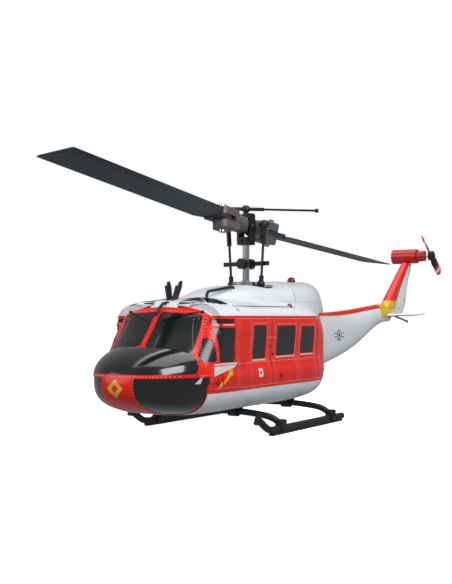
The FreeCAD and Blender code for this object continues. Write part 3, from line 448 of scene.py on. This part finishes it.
def ribbon(bm, hits, width, lift, thick=0.05):
    """Thin strip following the skin through the hit points."""
    spots = [(h[0], h[1]) for h in hits if h is not None]
    loops = []
    for k, (spot, normal) in enumerate(spots):
        a = spots[max(0, k - 1)][0]
        b = spots[min(len(spots) - 1, k + 1)][0]
        way = (b - a).normalized()
        side = normal.cross(way).normalized() * (width * MM / 2.0)
        up = normal * (lift * MM)
        low = normal * ((lift - thick) * MM)
        loops.append([bm.verts.new(spot + side + up), bm.verts.new(spot - side + up),
                      bm.verts.new(spot - side + low), bm.verts.new(spot + side + low)])
    for a, b in zip(loops, loops[1:]):
        for k in range(4):
            bm.faces.new((a[k], a[(k + 1) % 4], b[(k + 1) % 4], b[k]))
    if loops:
        bm.faces.new(loops[0])
        bm.faces.new(list(reversed(loops[-1])))


def lines(name, rows, placer, width=0.22, lift=0.03, gap=2.0, mat="line", body="airframe"):
    """Strips along the rows, all in one piece."""
    def build(bm):
        for row in rows:
            ribbon(bm, [placer(*spot) for spot in along(row, gap)], width, lift)
    return new_piece(name, build, mat, body)


def patch(name, outline, placer, mat, lift=0.05, cells=10, body="airframe"):
    """Flat marking laid on the skin: outline filled on a fine grid."""
    def build(bm):
        flat = bmesh.new()
        ring = [flat.verts.new((u, v, 0.0)) for u, v in outline]
        flat.faces.new(ring)
        us = [p[0] for p in outline]
        vs = [p[1] for p in outline]
        for k in range(1, cells):
            for axis, values in ((0, us), (1, vs)):
                value = min(values) + (max(values) - min(values)) * k / cells
                co = Vector((value, 0, 0)) if axis == 0 else Vector((0, value, 0))
                no = Vector((1, 0, 0)) if axis == 0 else Vector((0, 1, 0))
                everything = flat.verts[:] + flat.edges[:] + flat.faces[:]
                bmesh.ops.bisect_plane(flat, geom=everything, plane_co=co, plane_no=no)
        made = {}
        for v in flat.verts:
            hit = placer(v.co.x, v.co.y)
            if hit is not None:
                made[v] = (bm.verts.new(hit[0] + hit[1] * (lift * MM)),
                           bm.verts.new(hit[0] - hit[1] * (0.02 * MM)))
        for f in flat.faces:
            if all(v in made for v in f.verts):
                bm.faces.new([made[v][0] for v in f.verts])
                bm.faces.new([made[v][1] for v in reversed(f.verts)])
        for e in flat.edges:
            if len(e.link_faces) == 1 and all(v in made for v in e.verts):
                a, b = e.verts
                bm.faces.new((made[a][0], made[b][0], made[b][1], made[a][1]))
        flat.free()
    return new_piece(name, build, mat, body, smooth=False)


def disc_outline(cu, cv, radius, count=20, squash=1.0):
    """Round or oval outline for a patch."""
    angles = [2 * math.pi * k / count for k in range(count)]
    return [(cu + radius * math.cos(a), cv + radius * squash * math.sin(a)) for a in angles]


def rod(bm, points, radius, sides=8):
    """Round wire through the points."""
    rings = []
    up = Vector((0, 0, 1))
    for k, spot in enumerate(points):
        a = points[max(0, k - 1)]
        b = points[min(len(points) - 1, k + 1)]
        way = (b - a).normalized()
        side = way.cross(up)
        side = side.normalized() if side.length > 1e-6 else Vector((1, 0, 0))
        other = way.cross(side).normalized()
        rings.append([bm.verts.new(spot + (side * math.cos(t) + other * math.sin(t)) * radius)
                      for t in (2.0 * math.pi * j / sides for j in range(sides))])
    for a, b in zip(rings, rings[1:]):
        for k in range(sides):
            bm.faces.new((a[k], a[(k + 1) % sides], b[(k + 1) % sides], b[k]))
    bm.faces.new(rings[0])
    bm.faces.new(list(reversed(rings[-1])))


# ---------------------------------------------------------------- cabin markings
def side_rows():
    """Rivet rows of one flank as (y, z) polylines."""
    rows = []
    for y in (-57.6, -55.8, -45.2, -27.4, -22.2, -0.2, 2.6, 21.4, 27.0):
        rows.append([(y, 24.2), (y, 55.2)])
    for z in (55.3, 23.6, 34.6):
        rows.append([(-56.0, z), (28.0, z)])
    rows.append([(-27.4, 46.0), (-20.4, 46.0)])
    for a, b, c, d in ((-43.6, -29.2, 35.2, 53.0), (-20.6, -0.8, 36.0, 52.6),
                       (4.0, 20.6, 36.4, 52.2)):
        rows.append([(a, c), (b, c), (b, d), (a, d), (a, c)])
    rows.append([(-84.5, 35.6), (-75.0, 54.8)])
    rows.append([(-82.6, 34.6), (-72.8, 55.4)])
    rows.append([(-73.6, 36.4), (-73.6, 55.4)])
    rows.append([(-78.0, 24.6), (-78.0, 33.8)])
    rows.append([(-76.6, 24.2), (-58.4, 24.2)])
    rows.append([(-84.0, 30.6), (-77.2, 30.6)])
    return rows


for side, tag in ((1, "left"), (-1, "right")):
    place = side_placer(side)
    rivets("rivets_" + tag, side_rows(), place)
    lines("door_lines_" + tag, [[(-56.7, 24.0), (-56.7, 55.8)], [(-24.8, 24.0), (-24.8, 55.8)],
                                [(24.2, 24.0), (24.2, 55.8)],
                                [(-56.7, 55.8), (24.2, 55.8)],
                                [(-77.4, 34.0), (-77.4, 24.0), (-56.7, 24.0)]], place, 0.25)
    patch("door_strip_" + tag, [(-76.6, 29.8), (-60.2, 33.2), (-58.4, 34.4), (-76.6, 34.0)],
          place, "pale", 0.10)
    patch("window_sill_" + tag, [(-76.6, 34.6), (-57.8, 34.6), (-58.6, 35.4), (-76.6, 35.2)],
          place, "pale", 0.16)
    lines("sills_" + tag, [[(-42.8, 35.6), (-30.0, 35.6)], [(-19.8, 36.4), (-1.0, 36.4)],
                           [(5.0, 36.8), (19.6, 36.8)],
                           [(-72.0, 52.4), (-60.4, 52.4)]], place, 0.5, 0.12, 1.5, "pale")
    patch("arrow_" + tag, [(-72.6, 25.2), (-71.4, 24.4), (-63.4, 30.2), (-62.8, 29.4),
                           (-61.6, 32.6), (-65.2, 32.2),
                           (-64.4, 31.3)], place, "yellow", 0.08)
    patch("aid_square_" + tag, [(-38.6, 27.6), (-34.8, 27.6), (-34.8, 31.6), (-38.6, 31.6)],
          place, "pale", 0.06, 4)
    patch("aid_dot_" + tag, disc_outline(-36.7, 29.6, 0.9, 14), place, "dark_red", 0.10, 4)
    patch("filler_cap_" + tag, disc_outline(-73.6, 26.9, 1.4), place, "dark_red", 0.06, 4)
    # the step recess is a flat dark red disc, painted shade in place of the hollow
    patch("step_recess_shade_" + tag, disc_outline(-17.0, 27.2, 1.2), place, "dark_red", 0.06, 4)


# ---------------------------------------------------------------- nose, screen frame, roof crown, tail markings
rivets("rivets_nose", [[(-24.0, 30.5), (24.0, 30.5)], [(-8.6, 29.4), (-8.6, 16.0)],
                       [(8.6, 29.4), (8.6, 16.0)]],
       on_front, 1.3)
for side, tag in ((1, "left"), (-1, "right")):
    frame_rows = [[(side * x, z) for x, z in row] for row in
                  (((24.6, 38.2), (23.2, 57.2)), ((2.0, 59.2), (22.0, 57.9)),
                   ((0.0, 44.0), (0.0, 58.6)))]
    rivets("rivets_screen_" + tag, frame_rows, on_front, 1.5, 0.2)
patch("nose_diamond", [(0.0, 21.2), (4.3, 25.3), (0.0, 29.4), (-4.3, 25.3)], on_front, "yellow",
      0.08)
patch("nose_diamond_heart", [(0.0, 23.4), (2.0, 25.3), (0.0, 27.2), (-2.0, 25.3)], on_front,
      "red", 0.12, 6)


ROOF_FLAT = 61.5
CROWN_HALF = 25.5
CROWN_FRONT = -74.5
CROWN_LENGTH = 84.0
CROWN_RISE = 3.2


def crown_height(x, y):
    """Low dome of the roof, standing on the roof moulding and fading into its edge."""
    hit = on_top(x, y)
    if hit is None:
        return None
    roof = max(hit[0].z / MM, ROOF_FLAT if y > -55.0 else 0.0) - 0.15
    if roof < 59.6:
        return None
    across = max(0.0, 1.0 - (abs(x) / CROWN_HALF) ** 3)
    t = min(1.0, max(0.0, (y - CROWN_FRONT) / 19.0))
    return roof + CROWN_RISE * across * t * (2.0 - t)


def crown(bm):
    xs = [-CROWN_HALF + 2.0 * CROWN_HALF * k / 34 for k in range(35)]
    ys = [CROWN_FRONT + CROWN_LENGTH * k / 56 for k in range(57)]
    grid = []
    for y in ys:
        heights = [crown_height(x, y) for x in xs]
        grid.append([None if h is None else bm.verts.new(at(x, y, h)) for x,
                     h in zip(xs, heights)])
    for a, b in zip(grid, grid[1:]):
        for k in range(len(xs) - 1):
            corners = (a[k], a[k + 1], b[k + 1], b[k])
            if None not in corners:
                bm.faces.new(corners)


crown_obj = new_piece("roof_crown", crown, "white")
CROWN_SKIN = BVHTree.FromPolygons([v.co.copy() for v in crown_obj.data.vertices],
                                  [list(f.vertices) for f in crown_obj.data.polygons])


def on_crown(x, y):
    return on_top(x, y, CROWN_SKIN)


for side, tag in ((1, "left"), (-1, "right")):
    pane = [(side * x, y) for x, y in ((6.6, -71.6), (18.8, -70.0), (22.6, -58.0), (20.8, -55.6),
                                       (8.4, -55.2))]
    patch("roof_pane_" + tag, pane, on_crown, "green", 0.10, 12)
    rim = pane + [pane[0]]
    lines("roof_pane_rim_" + tag, [rim], on_crown, 0.7, 0.16, 1.5, "white")

BOOM_DISC = (96.0, 45.0)
for side, tag in ((1, "left"), (-1, "right")):
    tail_place = side_placer(side, TAIL_SKIN)
    cowl_place = side_placer(side, COWL_SKIN)
    patch("boom_disc_" + tag, disc_outline(*BOOM_DISC, 3.3, 28), tail_place, "ink", 0.05)
    patch("boom_disc_white_" + tag, disc_outline(*BOOM_DISC, 2.5, 28), tail_place, "pale", 0.08)
    patch("boom_disc_heart_" + tag, disc_outline(*BOOM_DISC, 1.3, 20), tail_place, "ink", 0.11)
    for k, start in enumerate((88.6, 99.6)):
        for z in (43.9, 46.1):
            lines("boom_bar_%s_%d_%d" % (tag, k, z * 10), [[(start, z), (start + 3.8, z)]],
                  tail_place, 0.5, 0.06, 1.0, "ink")
    lines("cowl_lines_" + tag, [[(-12.0, 63.0), (-12.0, 72.0)], [(6.0, 63.0), (6.0, 72.8)],
                                [(20.9, 62.6), (20.9, 73.6)],
                                [(40.0, 61.5), (40.0, 75.0)], [(56.0, 61.0), (56.0, 75.0)],
                                [(-30.0, 64.2), (56.0, 64.2)]],
          cowl_place, 0.2, 0.03, 1.2, "seam")
    rivets("cowl_rivets_" + tag, [[(-28.0, 63.4), (58.0, 63.4)], [(21.8, 64.0), (21.8, 73.0)]],
           cowl_place, 2.2, 0.2, "pale")
    lines("door_handles_" + tag, [[(-26.8, 41.9), (-24.6, 41.9)], [(-24.0, 38.0), (-21.8, 38.0)]],
          side_placer(side), 0.7, 0.35, 0.6, "plastic")
    patch("roof_oval_" + tag, disc_outline(-53.4, 59.4, 1.3, 18, 0.6), side_placer(side), "seam",
          0.12, 4)
    rivets("fin_fittings_" + tag, [[(206.0, 62.0), (216.0, 68.0)]], tail_place, 12.0, 0.7,
           "plastic")


# ---------------------------------------------------------------- wipers
def wiper(bm, side):
    """Wiper arm lying just above the glass, with its pivot boss."""
    hits = []
    for x, z in ((20.5, 58.2), (15.0, 57.2), (9.0, 55.6), (4.5, 54.2)):
        hit = on_front(side * x, z)
        if hit is not None:
            hits.append(hit[0] + hit[1] * 0.0006)
    rod(bm, hits, 0.00028, 6)
    hit = on_front(side * 20.5, 58.2)
    dome(bm, hit[0], hit[1], 0.0009, 0.0009, 10)


new_piece("wipers", lambda bm: (wiper(bm, 1), wiper(bm, -1)), "plastic")

# ---------------------------------------------------------------- floor, light, camera
def floor_paint(name, tone, rough):
    """Even, faintly glowing floor."""
    mat, tree, shader = tree_of(name)
    coord = add(tree, "ShaderNodeTexCoord")
    cloud = add(tree, "ShaderNodeTexNoise", Scale=3.0)
    tree.links.new(coord.outputs["Object"], cloud.inputs["Vector"])
    base = mix_colour(tree, cloud.outputs["Fac"], shade(tone, 0.995), shade(tone, 1.0))
    tree.links.new(base, shader.inputs["Base Color"])
    shader.inputs["Roughness"].default_value = rough
    shader.inputs["Specular IOR Level"].default_value = 0.1
    tree.links.new(base, shader.inputs["Emission Color"])
    shader.inputs["Emission Strength"].default_value = 0.84
    return mat


mesh = bpy.data.meshes.new("floor")
bm = bmesh.new()
bmesh.ops.create_grid(bm, x_segments=2, y_segments=2, size=6.0)
bm.to_mesh(mesh)
bm.free()
floor = bpy.data.objects.new("floor", mesh)
bpy.context.scene.collection.objects.link(floor)
floor.data.materials.append(floor_paint("pale_floor", (0.96, 0.96, 0.96, 1.0), 0.9))
floor.visible_diffuse = False
floor.visible_glossy = False

world = bpy.data.worlds.new("studio")
bpy.context.scene.world = world
world.use_nodes = True
wtree = world.node_tree
backdrop = wtree.nodes["Background"]
backdrop.inputs["Color"].default_value = (1.0, 1.0, 1.0, 1.0)
backdrop.inputs["Strength"].default_value = 1.0
room = wtree.nodes.new("ShaderNodeBackground")
room.inputs["Color"].default_value = (0.92, 0.96, 1.0, 1.0)
room.inputs["Strength"].default_value = 0.27
rays = wtree.nodes.new("ShaderNodeLightPath")
blend = wtree.nodes.new("ShaderNodeMixShader")
wtree.links.new(rays.outputs["Is Camera Ray"], blend.inputs[0])
wtree.links.new(room.outputs[0], blend.inputs[1])
wtree.links.new(backdrop.outputs[0], blend.inputs[2])
wtree.links.new(blend.outputs[0], wtree.nodes["World Output"].inputs["Surface"])
bpy.context.scene.view_settings.view_transform = "Standard"


def lamp(name, place, target, size, power):
    """Area lamp aimed at the target."""
    data = bpy.data.lights.new(name, "AREA")
    data.shape = "RECTANGLE"
    data.size, data.size_y = size
    data.energy = power
    obj = bpy.data.objects.new(name, data)
    bpy.context.scene.collection.objects.link(obj)
    obj.location = place
    obj.rotation_euler = (target - place).to_track_quat("-Z", "Y").to_euler()


centre = at(0, 20, 50)
lamp("key", at(700, -350, 620), centre, (0.55, 0.55), 6.2)
lamp("fill", at(-500, -700, 420), centre, (0.7, 0.5), 2.0)
lamp("top", at(0, 100, 900), centre, (0.9, 0.9), 4.4)

VIEW_TURN = math.radians(32.6)
FRAME_HEIGHT = 584.0
FOCAL_LENGTH = 900.0
SENSOR = 36.0
view_dir = Vector((-math.sin(VIEW_TURN), math.cos(VIEW_TURN), 0.0))
camera_data = bpy.data.cameras.new("camera")
camera_data.sensor_width = SENSOR
camera_data.lens = FOCAL_LENGTH / FRAME_HEIGHT * SENSOR
camera_data.shift_y = 25.0 / FRAME_HEIGHT
camera_data.clip_start = 0.01
camera = bpy.data.objects.new("camera", camera_data)
bpy.context.scene.collection.objects.link(camera)
camera.location = at(247.25, -406.23, 56.0)
camera.rotation_euler = view_dir.to_track_quat("-Z", "Y").to_euler()
bpy.context.scene.camera = camera
